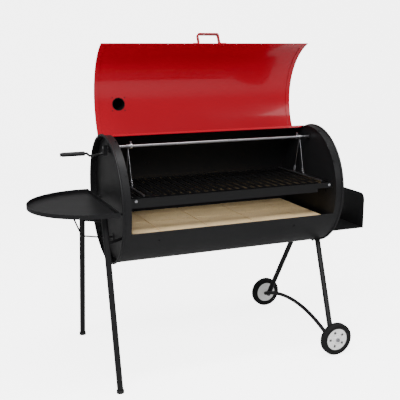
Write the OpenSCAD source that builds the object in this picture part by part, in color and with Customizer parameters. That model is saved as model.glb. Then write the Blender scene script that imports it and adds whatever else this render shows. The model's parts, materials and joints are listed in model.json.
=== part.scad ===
// Barrel charcoal grill with a crank-raised grate, a hinged lid, a round side tray,
// a side shelf, two plain legs and two wheeled legs.
// Lengths are in millimetres. Arc angles start at the front and run up over the top to the back.

/* [Barrel] */
// Outer radius of the barrel shell
drum_r = 270; // [240:1:320]
// Length of the barrel over its rims
drum_l = 1010; // [900:5:1200]
// Height of the barrel's axis above the floor
axis_h = 727; // [640:1:820]
// Thickness of the shell and end sheets
shell_t = 2; // [1.5:0.1:3]
// Depth of the recess at each end
end_recess = 28; // [20:1:40]
// Radius of the rolled rim at each end
rim_bead_r = 5; // [3:0.5:7]
// Width of the closed band left beside each end of the opening
end_band = 31; // [26:1:60]
// Arc angle of the opening's lower front edge
open_from = -21.5; // [-26:0.5:-14]
// Arc angle of the opening's rear edge
open_to = 103; // [98:0.5:106]

/* [Lid] */
// Arc that the lid covers
lid_arc = 100; // [90:0.5:108]
// Gap between the shell and the lid sheet when the lid is shut
lid_gap = 6; // [5:0.5:10]
// Thickness of the lid sheet
lid_t = 1.6; // [1.2:0.1:3]
// Clearance between the lid's end and the rolled rim
lid_end_gap = 16; // [6:0.5:17]
// Arc angle of the hinge pins
hinge_a = 127.5; // [122:0.5:130]
// Opening angle of the lid
lid_swing = 86.5; // [80:0.5:92]
// Width of the bands along the lid's two ends
lid_band_w = 21; // [14:1:30]
// Distance of each hinge from the middle
hinge_x = 330; // [200:5:400]
// Length of the handle's bar
handle_l = 92; // [70:1:160]
// Height of the handle above the lid
handle_h = 50; // [24:1:60]

/* [Chimney] */
// Outer radius of the chimney pipe
pipe_r = 28; // [22:1:34]
// Length of the chimney pipe
pipe_l = 130; // [80:5:180]
// Distance of the chimney from the lid's left end
pipe_inset = 108; // [90:1:200]
// Arc angle of the chimney on the shut lid
pipe_a = 94; // [84:1:98]

/* [Grate] */
// Height of the grate's top above the barrel's axis at its lowest stop
grate_up = 44; // [30:1:60]
// Travel of the grate under the crank
grate_lift = 65; // [40:1:65]
// Distance of the grate's front from the shell's outer face
grate_front_gap = 24; // [22:1:34]
// Distance of the grate's back from the shell's outer face
grate_back_gap = 65; // [60:1:90]
// Pitch of the grooved bars
bar_pitch = 36; // [30:1:48]
// Width of each grooved bar
bar_w = 25; // [18:1:26]
// Depth of each grooved bar
bar_d = 19; // [12:1:19]

/* [Crank] */
// Radius of the crank shaft
shaft_r = 6; // [5:0.5:8]
// Depth of the crank shaft below the shell's top
shaft_down = 50; // [44:1:70]
// Distance of the left lifting cables from the end sheet
left_cable_in = 80; // [52:1:100]
// Distance of the right lifting cables from the end sheet
right_cable_in = 53; // [52:1:100]
// Throw of the crank
crank_throw = 102; // [80:1:130]
// Length of the crank's grip
grip_l = 98; // [80:1:120]

/* [Fire bed] */
// Height of the firebrick surface above the shell's underside
brick_up = 158; // [130:1:166]
// Thickness of the firebricks
brick_t = 25; // [15:1:35]
// Pitch of the firebricks
brick_pitch = 215; // [150:1:240]

/* [Stand] */
// Outer radius of the leg tubes
leg_r = 12.5; // [9:0.5:14]
// Distance of the left feet beyond the barrel's left rim
left_foot_out = 59; // [45:1:95]
// Half the spread of the left feet
left_foot_y = 343; // [300:1:400]
// Distance of the wheels inward from the barrel's right rim
wheel_in = 71; // [35:1:110]
// Half the distance between the two wheels
wheel_y = 364; // [330:1:420]
// Radius of the wheels
wheel_r = 75; // [60:1:90]
// Width of the tyres
wheel_w = 30; // [22:1:40]
// Radius of the wheel axles
axle_r = 6; // [5:0.5:8]

/* [Tray and shelf] */
// Radius of the round tray
tray_r = 280; // [200:1:320]
// Distance of the tray's centre from the barrel's left rim
tray_out = 43; // [30:1:80]
// Depth of the tray's rim below the barrel's axis
tray_down = 0; // [0:1:30]
// Height of the tray's rim
tray_rim_h = 17; // [12:1:30]
// Depth of the side shelf
shelf_w = 169; // [120:1:240]
// Length of the side shelf
shelf_l = 362; // [300:2:380]
// Height of the side shelf above the shell's underside
shelf_up = 73; // [65:1:90]
// Height of the side shelf's end panel
shelf_h = 162; // [100:1:200]

/* [Hidden] */
$fn = 64;
half_l = drum_l/2;
cap_x = half_l - end_recess;            // inner face of the recess
shell_in = 8;                           // the shell ends this far in from the rim
open_x = half_l - shell_in - end_band;         // half length of the opening
lid_x = half_l - lid_end_gap - 9;       // half length of the lid
lid_in = drum_r + lid_gap;              // inner radius of the lid sheet
lid_out = lid_in + lid_t;
band_t = 2;                             // thickness of the lid's bands
pin_r = 3;                              // hinge pins
run_gap = 0.05;                         // radial running clearance
hinge_r = drum_r + 12;                  // radius at which the hinge pins lie
lid_to = hinge_a - 1.5;                 // arc angle of the lid's rear edge when shut
lid_from = lid_to - lid_arc;            // arc angle of the lid's front edge when shut
hinge_y = -hinge_r*cos(hinge_a);
hinge_z = hinge_r*sin(hinge_a);
pipe_x = -lid_x + pipe_inset;
shaft_z = drum_r - shaft_down;
grate_front = drum_r - grate_front_gap;
grate_back = drum_r - grate_back_gap;
brick_down = drum_r - brick_up;
shelf_down = drum_r - shelf_up;
left_foot_x = half_l + left_foot_out;
wheel_x = half_l - wheel_in;
spool_r = shaft_r + 3;                  // radius over the wound cable
cable_r = 1.6;
cable_spread = 45;                      // half the spread of each cable pair at the grate
chain_link = 4;                         // radius of a chain link, to the middle of its wire
chain_wire = 1.3;
chain_step = 6.2;
cable_places = [left_cable_in - cap_x, cap_x - right_cable_in];
collar_places = [cable_places[0] + 13, cable_places[1] - 13];
rail_h = 26;                            // height of the grate's side rails
rail_x = cap_x - 15;                    // outer face of the grate's side rails
rail_t = 4;
trough_h = 38;                          // height of the grease trough
trough_w = 32;
trough_tab = 76;                        // length of the flat tab at the trough's right end
crank_x = cap_x + 15;                   // where the crank's hub stands
arm_drop = 23;                          // the arm leaves the hub this far below the shaft
grip_x = half_l + 54;                   // inner end of the grip
grip_y = crank_throw*cos(19);
grip_z = shaft_z - crank_throw*sin(19);
arm_r = 5;
tray_x = -(half_l + tray_out);
tray_cut = half_l + 9;                  // the tray's straight edge
tray_floor = -tray_down - tray_rim_h;   // height of the tray's underside, from the axis
tray_rod_r = 5.5;
tray_rod_y = drum_r - 74;
tray_rod_z = tray_floor - tray_rod_r;
leg_top_y = tray_rod_y;                 // the tray rods run through the left legs' upper ends
leg_top_z = tray_rod_z + 2;
leg_x = left_foot_x - 4;
saddle_x = half_l - 29;                 // right legs, where they meet the shell
saddle_a = -68;
shelf_x = half_l + shelf_w;
hub_r = 50;
// The box is centred on the origin: the tray reaches furthest left, the shelf furthest right.
centre_x = (shelf_x + 2 + tray_x - tray_r)/2;

// Places a shape given from the barrel's axis.
module on_axis() translate([-centre_x, 0, axis_h]) children();

// Turns a shape drawn with +X outward and Z along the barrel to an arc angle.
module at_arc(a) rotate([90, 0, -90]) rotate([0, 0, a]) children();

// A curved plate about the barrel's axis.
module arc_plate(r_in, r_out, a_from, a_to, x_from, x_to)
  at_arc(a_from) translate([0, 0, -x_to]) rotate_extrude(angle = a_to - a_from, $fn = 96)
    translate([r_in, 0]) square([r_out - r_in, x_to - x_from]);

// A full ring about the barrel's axis.
module ring(r_in, r_out, x_from, x_to)
  translate([x_from, 0, 0]) rotate([0, 90, 0]) difference() {
    cylinder(r = r_out, h = x_to - x_from, $fn = 128);
    translate([0, 0, -1]) cylinder(r = r_in, h = x_to - x_from + 2, $fn = 128);
  }

// A round bar along X.
module bar_x(r, x_from, x_to, y, z)
  translate([x_from, y, z]) rotate([0, 90, 0]) cylinder(r = r, h = x_to - x_from, $fn = 32);

// A round bar along Y.
module bar_y(r, y_from, y_to, x, z)
  translate([x, y_from, z]) rotate([-90, 0, 0]) cylinder(r = r, h = y_to - y_from, $fn = 32);

// A round bar between two points, with an inner radius for a tube.
module bar_between(p, q, r, r_in = 0) {
  d = q - p;
  len = norm(d);
  translate(p) rotate([0, acos(d[2]/len), atan2(d[1], d[0])]) difference() {
    cylinder(r = r, h = len, $fn = 32);
    if (r_in > 0) translate([0, 0, -1]) cylinder(r = r_in, h = len + 2, $fn = 32);
  }
}

// A round bar that follows several points, with rounded bends.
module bent_bar(points, r) {
  for (i = [0 : len(points) - 2]) bar_between(points[i], points[i + 1], r);
  for (i = [1 : len(points) - 2]) translate(points[i]) sphere(r = r + 0.1, $fn = 32);
}

// A hexagon bolt head with a washer, standing along +X of an arc angle.
module arc_bolt(r_from, a, x, head = 6, shank = 6)
  at_arc(a) translate([0, 0, -x]) rotate([0, 90, 0]) {
    translate([0, 0, r_from - 0.4]) cylinder(r = head + 1.5, h = 1.4, $fn = 32);
    translate([0, 0, r_from + 1]) cylinder(r = head, h = 3.6, $fn = 6);
    translate([0, 0, r_from - shank]) cylinder(r = 2.5, h = shank, $fn = 24);
  }

// Moves a lid piece from the shut place, in which it is drawn, to the open rest place.
module opened_lid()
  translate([0, hinge_y, hinge_z]) rotate([-lid_swing, 0, 0]) translate([0, -hinge_y, -hinge_z]) children();

// ---- barrel ----

module barrel_shell() color("#2b2b2d") on_axis() difference() {
  ring(drum_r - shell_t, drum_r, -half_l + shell_in, half_l - shell_in);
  arc_plate(drum_r - 20, drum_r + 20, open_from, open_to, -open_x, open_x);
}

module end_cap(side) mirror([side < 0 ? 1 : 0, 0, 0]) difference() {
  translate([cap_x - shell_t, 0, 0]) rotate([0, 90, 0]) cylinder(r = drum_r - shell_t, h = shell_t, $fn = 128);
  bar_x(shaft_r + 4, cap_x - 20, cap_x + 20, 0, shaft_z);
}
module left_end_cap() color("#303032") on_axis() end_cap(-1);
module right_end_cap() color("#303032") on_axis() end_cap(1);

// A rolled bead at the rim, with the flange that holds the end sheet in the shell.
module rim(side) mirror([side < 0 ? 1 : 0, 0, 0]) translate([half_l - rim_bead_r, 0, 0]) rotate([0, 90, 0])
  rotate_extrude($fn = 128) {
    difference() {
      translate([drum_r + 1, 0]) circle(r = rim_bead_r, $fn = 24);
      translate([drum_r - 20, rim_bead_r - shell_in - 20]) square(20);
    }
    translate([drum_r - 2*shell_t, rim_bead_r - end_recess]) square([shell_t, end_recess - rim_bead_r]);
  }
module left_rim() color("#202022") on_axis() rim(-1);
module right_rim() color("#202022") on_axis() rim(1);

module rear_strip() color("#b3131b") on_axis() {
  arc_plate(drum_r, drum_r + 2.2, open_to, open_to + 7, -open_x - 14, open_x + 14);
  arc_plate(drum_r - 7, drum_r + 2.2, open_to - 0.5, open_to, -open_x, open_x);
}

module strip_bolts() color("#a81219") on_axis() for (x = [-open_x - 8, -open_x/2, 0, open_x/2, open_x + 8])
  at_arc(open_to + 4) translate([drum_r - 4, 0, -x]) rotate([0, 90, 0]) {
    cylinder(r = 2.5, h = 6.2, $fn = 24);
    translate([0, 0, 6.2]) cylinder(r1 = 6, r2 = 4.8, h = 1.1, $fn = 32);
  }

module lid_rest_buttons() color("#1b1b1b") on_axis() for (x = [-1, 1], a = [lid_from + 5, 70])
  at_arc(a) translate([drum_r, 0, -x*(lid_x - 8)]) rotate([0, 90, 0])
    cylinder(r = 4, h = lid_gap - band_t - 0.4, $fn = 32);

// ---- lid ----

module lid_sheet() color("#c01019") on_axis() opened_lid() difference() {
  arc_plate(lid_in, lid_out, lid_from, lid_to, -lid_x, lid_x);
  at_arc(pipe_a) translate([lid_in - 10, 0, -pipe_x]) rotate([0, 90, 0]) cylinder(r = pipe_r, h = 30);
}

module lid_end_bands() color("#a80d15") on_axis() opened_lid() for (s = [-1, 1])
  arc_plate(lid_in - band_t, lid_in, lid_from, lid_to, s*lid_x - (s + 1)/2*lid_band_w, s*lid_x + (1 - s)/2*lid_band_w);

module lid_front_band() color("#b00f17") on_axis() opened_lid()
  arc_plate(lid_in - band_t, lid_in, lid_from, lid_from + 8, -lid_x + lid_band_w + 0.3, lid_x - lid_band_w - 0.3);

handle_a = 3;                           // arc from the lid's front edge to the handle
handle_foot = 32;
handle_w = 22;
handle_t = 4;
module lid_handle() color("#b3131b") on_axis() opened_lid() at_arc(lid_from + handle_a)
  translate([lid_out, handle_w/2, 0]) rotate([90, 0, 0]) linear_extrude(handle_w) difference() {
    union() {
      translate([0, -handle_l/2 - handle_foot]) square([handle_t, 2*handle_foot + handle_l]);
      translate([0, -handle_l/2 - handle_t]) square([handle_h, handle_l + 2*handle_t]);
    }
    translate([-1, -handle_l/2]) square([handle_h - handle_t + 1, handle_l]);
  }

module handle_screws() color("#c9c9cc") on_axis() opened_lid() for (s = [-1, 1])
  at_arc(lid_from + handle_a) translate([lid_in - band_t - 2.6, 0, s*(handle_l/2 + handle_foot - 12)]) rotate([0, 90, 0]) {
    screw_l = 2.6 + band_t + lid_t + handle_t;
    cylinder(r1 = 4, r2 = 5.5, h = 2.4, $fn = 32);
    cylinder(r = 2.5, h = screw_l, $fn = 24);
    translate([0, 0, screw_l]) cylinder(r1 = 5.5, r2 = 3.5, h = 3, $fn = 32);
  }

// ---- chimney ----

module at_pipe() on_axis() opened_lid() at_arc(pipe_a) translate([lid_out, 0, -pipe_x]) rotate([0, 90, 0]) children();

flange_r = pipe_r + 20;
flange_turn = (pipe_r + 12)*sin(45)/lid_out*180/PI;   // arc from the pipe's axis to a flange bolt
module chimney_flange() color("#26262a") on_axis() opened_lid() {
  difference() {
    intersection() {
      arc_plate(lid_out, lid_out + 2, pipe_a - 12, pipe_a + 12, pipe_x - flange_r - 5, pipe_x + flange_r + 5);
      at_arc(pipe_a) translate([lid_out - 30, 0, -pipe_x]) rotate([0, 90, 0]) cylinder(r = flange_r, h = 60);
    }
    at_arc(pipe_a) translate([lid_out - 30, 0, -pipe_x]) rotate([0, 90, 0]) cylinder(r = pipe_r, h = 60);
  }
  for (x = [-1, 1], a = [-1, 1])
    arc_bolt(lid_out + 2, pipe_a + a*flange_turn, pipe_x + x*(pipe_r + 12)*sin(45), 4, 5);
}

pipe_inside = lid_t + 3;                // the pipe reaches this far in from the lid's outer face
module chimney_pipe() color("#26262a") at_pipe() difference() {
  translate([0, 0, -pipe_inside]) cylinder(r = pipe_r, h = pipe_l + 3.2 + pipe_inside);
  translate([0, 0, -10]) cylinder(r = pipe_r - shell_t, h = pipe_l + 30);
}

module chimney_damper() color("#202024") at_pipe() translate([0, 0, pipe_l + 3.6]) difference() {
  union() {
    cylinder(r = pipe_r + 3, h = 2);
    translate([0, -9, 0]) cube([pipe_r + 8, 18, 2]);
    translate([pipe_r + 8, 0, 0]) cylinder(r = 9, h = 2, $fn = 48);
    translate([-pipe_r - 16, -6, 0]) cube([16, 12, 2]);
  }
  translate([pipe_r + 8, 0, -1]) cylinder(r = pin_r + run_gap, h = 6, $fn = 48);
}

module damper_pin() color("#c9c9cc") at_pipe() translate([pipe_r + 8, 0, pipe_l - 20]) {
  difference() {
    union() {
      cylinder(r = 7, h = 23.2, $fn = 32);
      translate([-8.2, -5, 4]) cube([6, 10, 15]);
    }
    translate([-pipe_r - 8, 0, -1]) cylinder(r = pipe_r, h = 40);
  }
  cylinder(r = pin_r, h = 30, $fn = 48);
  translate([0, 0, 26.2]) cylinder(r = 6, h = 4, $fn = 6);
}

// ---- hinges ----

hinge_w = 60;
knuckle_r = 6.5;
module hinge_bore(x_from, x_to, bore) translate([x_from - 1, hinge_y, hinge_z]) rotate([0, 90, 0])
  cylinder(r = bore, h = x_to - x_from + 2, $fn = 48);

module hinge_barrel_leaves() color("#1d1d1f") on_axis() for (s = [-1, 1]) {
  x = s*hinge_x;
  difference() {
    union() {
      arc_plate(drum_r, drum_r + 2.5, hinge_a + 0.2, hinge_a + 9, x - hinge_w/2, x + hinge_w/2);
      for (k = [x - hinge_w/2, x + hinge_w/2 - 16]) {
        bar_x(knuckle_r, k, k + 16, hinge_y, hinge_z);
        at_arc(hinge_a) translate([drum_r + 1, 0, -k - 16]) cube([hinge_r - drum_r - 1, 5, 16]);
      }
    }
    hinge_bore(x - hinge_w/2, x + hinge_w/2, pin_r);
  }
}

module hinge_lid_leaves() color("#9c0c14") on_axis() opened_lid() for (s = [-1, 1]) {
  x = s*hinge_x;
  difference() {
    union() {
      bar_x(knuckle_r, x - 13.5, x + 13.5, hinge_y, hinge_z);
      arc_plate(lid_out, lid_out + 2.2, hinge_a - 9, hinge_a - 0.7, x - 13, x + 13);
    }
    hinge_bore(x - 13.5, x + 13.5, pin_r + run_gap);
  }
  for (k = [-7, 7]) arc_bolt(lid_out + 2.2, hinge_a - 6.5, x + k, 4, 5);
}

module hinge_pins() color("#c9c9cc") on_axis() for (s = [-1, 1]) {
  bar_x(pin_r, s*hinge_x - hinge_w/2 - 4, s*hinge_x + hinge_w/2 + 4, hinge_y, hinge_z);
  for (e = [-hinge_w/2 - 4, hinge_w/2 + 1]) bar_x(pin_r + 2, s*hinge_x + e, s*hinge_x + e + 3, hinge_y, hinge_z);
}

module hinge_bolts() color("#c9c9cc") on_axis() for (s = [-1, 1], x = [-18, 18])
  arc_bolt(drum_r + 2.5, hinge_a + 6, s*hinge_x + x, 5, 8);

// Two bars on the back of the barrel, on which the open lid leans.
module lid_stays() color("#232325") on_axis() for (s = [-1, 1]) {
  x = s*(hinge_x - 90);
  open_cy = hinge_y - hinge_z*sin(lid_swing) - hinge_y*cos(lid_swing);
  open_cz = hinge_z + hinge_y*sin(lid_swing) - hinge_z*cos(lid_swing);
  rest_a = 14;
  back_y = open_cy + (lid_out + 0.4)*cos(rest_a);
  back_z = open_cz - (lid_out + 0.4)*sin(rest_a);
  arc_plate(drum_r, drum_r + 3, 146, 160, x - 12, x + 12);
  difference() {
    bar_between([x, drum_r*cos(30) + 6, drum_r*sin(30) - 12], [x, back_y + 9, back_z - 4], 6);
    translate([x - 20, 0, 0]) rotate([0, 90, 0]) cylinder(r = drum_r + 1.5, h = 40, $fn = 128);
  }
  translate([x, back_y, back_z]) rotate([-rest_a, 0, 0]) translate([-12, 0, -20]) cube([24, 14, 40]);
  for (k = [-7, 7]) arc_bolt(drum_r + 3, 157, x + k, 4, 8);
}

// ---- crank ----

module crank_shaft() color("#9a9a9e") on_axis() {
  bar_x(shaft_r, -crank_x - 12, cap_x + 8, 0, shaft_z);
  for (x = cable_places, k = [-1 : 1])
    translate([x + (2*cable_r + 0.4)*k, 0, shaft_z]) rotate([0, 90, 0])
      rotate_extrude($fn = 48) translate([shaft_r + cable_r - 0.4, 0]) circle(r = cable_r, $fn = 16);
}

module shaft_collars() color("#cfcfd2") on_axis() for (x = collar_places) difference() {
  bar_x(11, x - 5, x + 5, 0, shaft_z);
  translate([x - 6, 0, shaft_z]) rotate([0, 90, 0]) cylinder(r = shaft_r, h = 12, $fn = 32);
}

module collar_screws() color("#dededf") on_axis() for (x = collar_places) translate([x, 0, shaft_z + 11]) {
  cylinder(r = 2.4, h = 5, $fn = 24);
  translate([0, 0, 5]) cylinder(r = 5, h = 4, $fn = 6);
}

module shaft_bearings() color("#343438") on_axis() for (s = [-1, 1]) mirror([s < 0 ? 1 : 0, 0, 0]) difference() {
  union() {
    translate([cap_x, -16, shaft_z - 22]) cube([3, 32, 44]);
    bar_x(shaft_r + 4, cap_x - 8, cap_x + 6, 0, shaft_z);
    for (z = [-16, 16]) bar_x(4.5, cap_x + 3, cap_x + 6, 0, shaft_z + z);
  }
  translate([cap_x - 10, 0, shaft_z]) rotate([0, 90, 0]) cylinder(r = shaft_r + run_gap, h = 20, $fn = 32);
}

module crank_hub() color("#232325") on_axis() difference() {
  translate([-crank_x - 11, -9, shaft_z - arm_drop - 9]) cube([16, 18, arm_drop + 19]);
  translate([-crank_x - 20, 0, shaft_z]) rotate([0, 90, 0]) cylinder(r = shaft_r, h = 40, $fn = 32);
  bar_x(arm_r, -crank_x - 20, -crank_x + 20, 0, shaft_z - arm_drop);
}

module crank_arm() color("#29292b") on_axis() {
  bent_bar([
    [-crank_x + 3, 0, shaft_z - arm_drop],
    [-half_l - 12, 4, shaft_z - arm_drop - 3],
    [-half_l - 30, 30, shaft_z - arm_drop - 12],
    [-half_l - 38, grip_y - 18, grip_z - 8],
    [-half_l - 46, grip_y, grip_z],
    [-grip_x - grip_l - 4, grip_y, grip_z]], arm_r);
  bar_x(arm_r + 3, -grip_x - grip_l - 6, -grip_x - grip_l - 1, grip_y, grip_z);
}

module crank_grip() color("#8b8b8d") on_axis() difference() {
  bar_x(10, -grip_x - grip_l, -grip_x, grip_y, grip_z);
  translate([-grip_x - grip_l - 1, grip_y, grip_z]) rotate([0, 90, 0])
    cylinder(r = arm_r + run_gap, h = grip_l + 2, $fn = 32);
}

// ---- grate ----

grate_top = grate_up;
chain_from = grate_top + 8 + chain_link + 0.5;
cable_foot_z = chain_from + 3*chain_step + chain_link + chain_wire + 0.9;

module lift_cables(x) for (s = [-1, 1])
  bar_between([x, s*3, shaft_z - spool_r - 0.8], [x, s*(cable_spread - 8), cable_foot_z], cable_r);
module left_lift_cables() color("#b5b5b8") on_axis() lift_cables(cable_places[0]);
module right_lift_cables() color("#b5b5b8") on_axis() lift_cables(cable_places[1]);

module link(turn) rotate([0, 0, turn]) rotate([90, 0, 0]) rotate_extrude($fn = 32)
  translate([chain_link, 0]) circle(r = chain_wire, $fn = 16);
module lift_chains() color("#b5b5b8") on_axis() for (x = cable_places, s = [-1, 1], k = [0 : 3])
  translate([x, s*(cable_spread - 2.2*k), chain_from + k*chain_step]) link(k % 2 == 0 ? 90 : 0);

module lifting_bars() color("#8f8f93") on_axis() for (x = cable_places)
  bar_y(4, -grate_front + trough_w + 2, grate_back - 2, x, grate_top + 4);

bar_n = floor((rail_x - rail_t - bar_w/2 - 3)/bar_pitch);
module grate_bars() color("#151516") on_axis() for (i = [-bar_n : bar_n])
  translate([i*bar_pitch, grate_back - 1, grate_top]) rotate([90, 0, 0])
    linear_extrude(grate_front + grate_back - trough_w - 2)
      polygon([[-bar_w/2, 0], [0, -bar_d], [bar_w/2, 0], [bar_w/2 - 3, 0], [0, -bar_d + 4], [-bar_w/2 + 3, 0]]);

module grate_frame() color("#1a1a1b") on_axis() {
  for (s = [-1, 1]) translate([s*rail_x - (s + 1)/2*rail_t, -grate_front + trough_w, grate_top - rail_h])
    cube([rail_t, grate_front + grate_back - trough_w, rail_h]);
  translate([-rail_x, grate_back, grate_top - rail_h]) cube([2*rail_x, rail_t, rail_h]);
  for (y = [-120, 60]) translate([-rail_x + rail_t, y, grate_top - rail_h]) cube([2*rail_x - 2*rail_t, 18, rail_h - bar_d]);
}

module grease_trough() color("#303032") on_axis() translate([0, -grate_front, grate_top - trough_h]) {
  trough_x = rail_x - trough_tab;
  difference() {
    translate([-rail_x, 0, 0]) cube([rail_x + trough_x, trough_w, trough_h]);
    translate([-rail_x + 2, 2, 2]) cube([rail_x + trough_x - 4, trough_w - 4, trough_h]);
  }
  translate([trough_x, 0, trough_h - 22]) cube([trough_tab, 2, 22]);
}

module trough_bolts() color("#d0d0d3") on_axis() for (x = [-rail_x + 22, rail_x - 18])
  translate([x, -grate_front, grate_top - 10]) rotate([90, 0, 0]) {
    cylinder(r = 6, h = 1, $fn = 32);
    translate([0, 0, 1]) cylinder(r = 4.5, h = 3.6, $fn = 6);
    translate([0, 0, -8]) cylinder(r = 2.5, h = 8, $fn = 24);
  }

module grate_stops() color("#2a2a2c") on_axis() for (s = [-1, 1], y = [-150, 130]) mirror([s < 0 ? 1 : 0, 0, 0]) {
  translate([rail_x - 14, y - 15, grate_top - rail_h - 3.4]) cube([cap_x - shell_t - rail_x + 14, 30, 3]);
  translate([cap_x - shell_t - 3, y - 15, grate_top - rail_h - 30]) cube([3, 30, 26.6]);
}

// ---- fire bed ----

brick_half_y = sqrt(pow(drum_r - shell_t - 2, 2) - pow(brick_down + brick_t, 2)) - 6;
brick_half_x = cap_x - shell_t - 32;
joint = 1.5;
module firebricks() color("#d9be94") on_axis() {
  edges = [-brick_half_x, -1.5*brick_pitch, -0.5*brick_pitch, 0.5*brick_pitch, 1.5*brick_pitch, brick_half_x];
  for (i = [0 : 4], s = [0, 1])
    translate([edges[i] + joint/2, s*brick_half_y - brick_half_y + joint/2, -brick_down - brick_t])
      cube([edges[i + 1] - edges[i] - joint, brick_half_y - joint, brick_t]);
}

module brick_pan() color("#2c2c2e") on_axis() difference() {
  translate([-brick_half_x - 3, -brick_half_y - 3, -brick_down - brick_t - 2])
    cube([2*brick_half_x + 6, 2*brick_half_y + 6, 12]);
  translate([-brick_half_x, -brick_half_y, -brick_down - brick_t]) cube([2*brick_half_x, 2*brick_half_y, 30]);
}

bracket_a = -asin((brick_down + brick_t + 4)/drum_r);   // the shell's bolts stand at the pan's level
bolt_places = [-343, 280];              // along the barrel, below the opening
module shell_bolts() color("#3a3a3c") on_axis() for (x = bolt_places, a = [bracket_a, 180 - bracket_a]) {
  arc_bolt(drum_r, a, x, 4, 6);
  arc_plate(drum_r - shell_t - 3, drum_r - shell_t, a - 4, a + 4, x - 14, x + 14);
}

// ---- tray and shelf ----

module tray_disc(r, edge) difference() {
  cylinder(r = r, h = tray_rim_h, $fn = 128);
  translate([-tray_x - edge, -r - 1, -1]) cube([2*r, 2*r + 2, tray_rim_h + 2]);
}
module side_tray() color("#1c1c1e") on_axis() translate([tray_x, 0, tray_floor]) difference() {
  tray_disc(tray_r, tray_cut);
  translate([0, 0, 2]) tray_disc(tray_r - 3, tray_cut + 3);
}

module tray_rods() color("#252527") on_axis() for (s = [-1, 1]) {
  bar_x(tray_rod_r, -leg_x - 62, -cap_x, s*tray_rod_y, tray_rod_z);
  bar_x(tray_rod_r + 4, -cap_x - 4, -cap_x, s*tray_rod_y, tray_rod_z);
}

brace_r = 3.5;
module tray_brace() color("#252527") on_axis() {
  bent_bar([
    [-cap_x - 1, 0, -drum_r + 105],
    [-half_l - 34, 0, -drum_r + 111],
    [-half_l - 102, 0, -drum_r + 123],
    [-half_l - 112, 0, -drum_r + 137],
    [-half_l - 136, 0, tray_floor - 53],
    [-half_l - 158, 0, tray_floor - 2]], brace_r);
  translate([-half_l - 178, -12, tray_floor - 3]) cube([40, 24, 3]);
  translate([-cap_x - 3, -12, -drum_r + 90]) cube([3, 24, 30]);
}

module side_shelf() color("#252528") on_axis() {
  translate([half_l, -shelf_l/2, -shelf_down - 2]) cube([shelf_w + 2, shelf_l, 2]);
  translate([shelf_x, 0, -shelf_down]) rotate([90, 0, 90]) linear_extrude(2) difference() {
    translate([-shelf_l/2, 0]) square([shelf_l, shelf_h]);
    for (s = [-1, 1]) translate([s*shelf_l/2, shelf_h]) difference() {
      translate([-30, -30]) square(60);
      translate([-s*30, -30]) circle(r = 30);
      translate([s > 0 ? -60 : 30, -60]) square([30, 90]);
      translate([-60, -90]) square([120, 60]);
    }
  }
  translate([half_l, -150, -shelf_down]) cube([2, 300, 40]);
}

module shelf_bolts() color("#b9b9bc") on_axis() for (y = [-110, 110]) {
  translate([cap_x, y - 14, -shelf_down + 8]) cube([end_recess, 28, 24]);
  bar_x(5, half_l + 2, half_l + 6, y, -shelf_down + 20);
}

// ---- stand ----

module left_leg(s) {
  bar_between([-leg_x, s*leg_top_y, leg_top_z], [-left_foot_x, s*left_foot_y, -axis_h + 12], leg_r, leg_r - 2);
}
module front_left_leg() color("#2a2a2c") on_axis() left_leg(-1);
module rear_left_leg() color("#2a2a2c") on_axis() left_leg(1);

// Each left leg is held off the end sheet by a spacer.
mount_z = leg_top_z - 110;
mount_k = (mount_z - leg_top_z)/(-axis_h + 12 - leg_top_z);
mount_y = leg_top_y + mount_k*(left_foot_y - leg_top_y);
mount_in_y = drum_r - 105;
mount_x = leg_x + mount_k*(left_foot_x - leg_x);
module left_leg_mounts() color("#2d2d30") on_axis() for (s = [-1, 1]) {
  bar_between([-cap_x, s*mount_in_y, mount_z], [-mount_x + leg_r - 1.5, s*mount_y, mount_z], 6);
  bar_x(12, -cap_x - 3, -cap_x, s*mount_in_y, mount_z);
}

module foot_caps() color("#141414") on_axis() for (s = [-1, 1])
  translate([-left_foot_x, s*left_foot_y, -axis_h]) {
    cylinder(r = leg_r + 3, h = 12);
  }

function saddle_at(s, r) = [saddle_x, s*r*cos(saddle_a), r*sin(saddle_a)];
module right_leg(s) difference() {
  bar_between(saddle_at(s, drum_r - 10), [wheel_x, s*(wheel_y - 38), -axis_h + wheel_r - 4], leg_r, leg_r - 2);
  translate([saddle_x - 60, 0, 0]) rotate([0, 90, 0]) cylinder(r = drum_r + 3, h = 120, $fn = 128);
}
module front_right_leg() color("#2a2a2c") on_axis() right_leg(-1);
module rear_right_leg() color("#2a2a2c") on_axis() right_leg(1);

module leg_saddles() color("#2d2d30") on_axis() for (a = [saddle_a, 180 - saddle_a]) {
  arc_plate(drum_r, drum_r + 3, a - 5, a + 5, saddle_x - 22, saddle_x + 16);
  for (x = [-16, 10], k = [-3.6, 3.6]) arc_bolt(drum_r + 3, a + k, saddle_x + x, 4, 1.5);
}

// The bowed rod that ties the two wheeled legs together.
tie_y = wheel_y - 44;
tie_rise = 62;
tie_r = 9;
tie_rad = (tie_y*tie_y + tie_rise*tie_rise)/(2*tie_rise);
tie_half = asin(tie_y/tie_rad);
module wheel_tie() color("#2a2a2c") on_axis()
  translate([wheel_x - leg_r - tie_r + 1.5, 0, -axis_h + wheel_r + 6 + tie_rise - tie_rad]) rotate([90, 0, 90])
    rotate([0, 0, 90 - tie_half]) rotate_extrude(angle = 2*tie_half, $fn = 128) translate([tie_rad, 0]) circle(r = tie_r, $fn = 24);

module wheel_axles() color("#8c8c90") on_axis() for (s = [-1, 1])
  bar_y(axle_r, s > 0 ? wheel_y - 52 : -wheel_y - 26, s > 0 ? wheel_y + 26 : -wheel_y + 52, wheel_x, -axis_h + wheel_r);

module at_wheel(s) translate([wheel_x, s*wheel_y, -axis_h + wheel_r]) rotate([s > 0 ? -90 : 90, 0, 0]) children();

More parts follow.
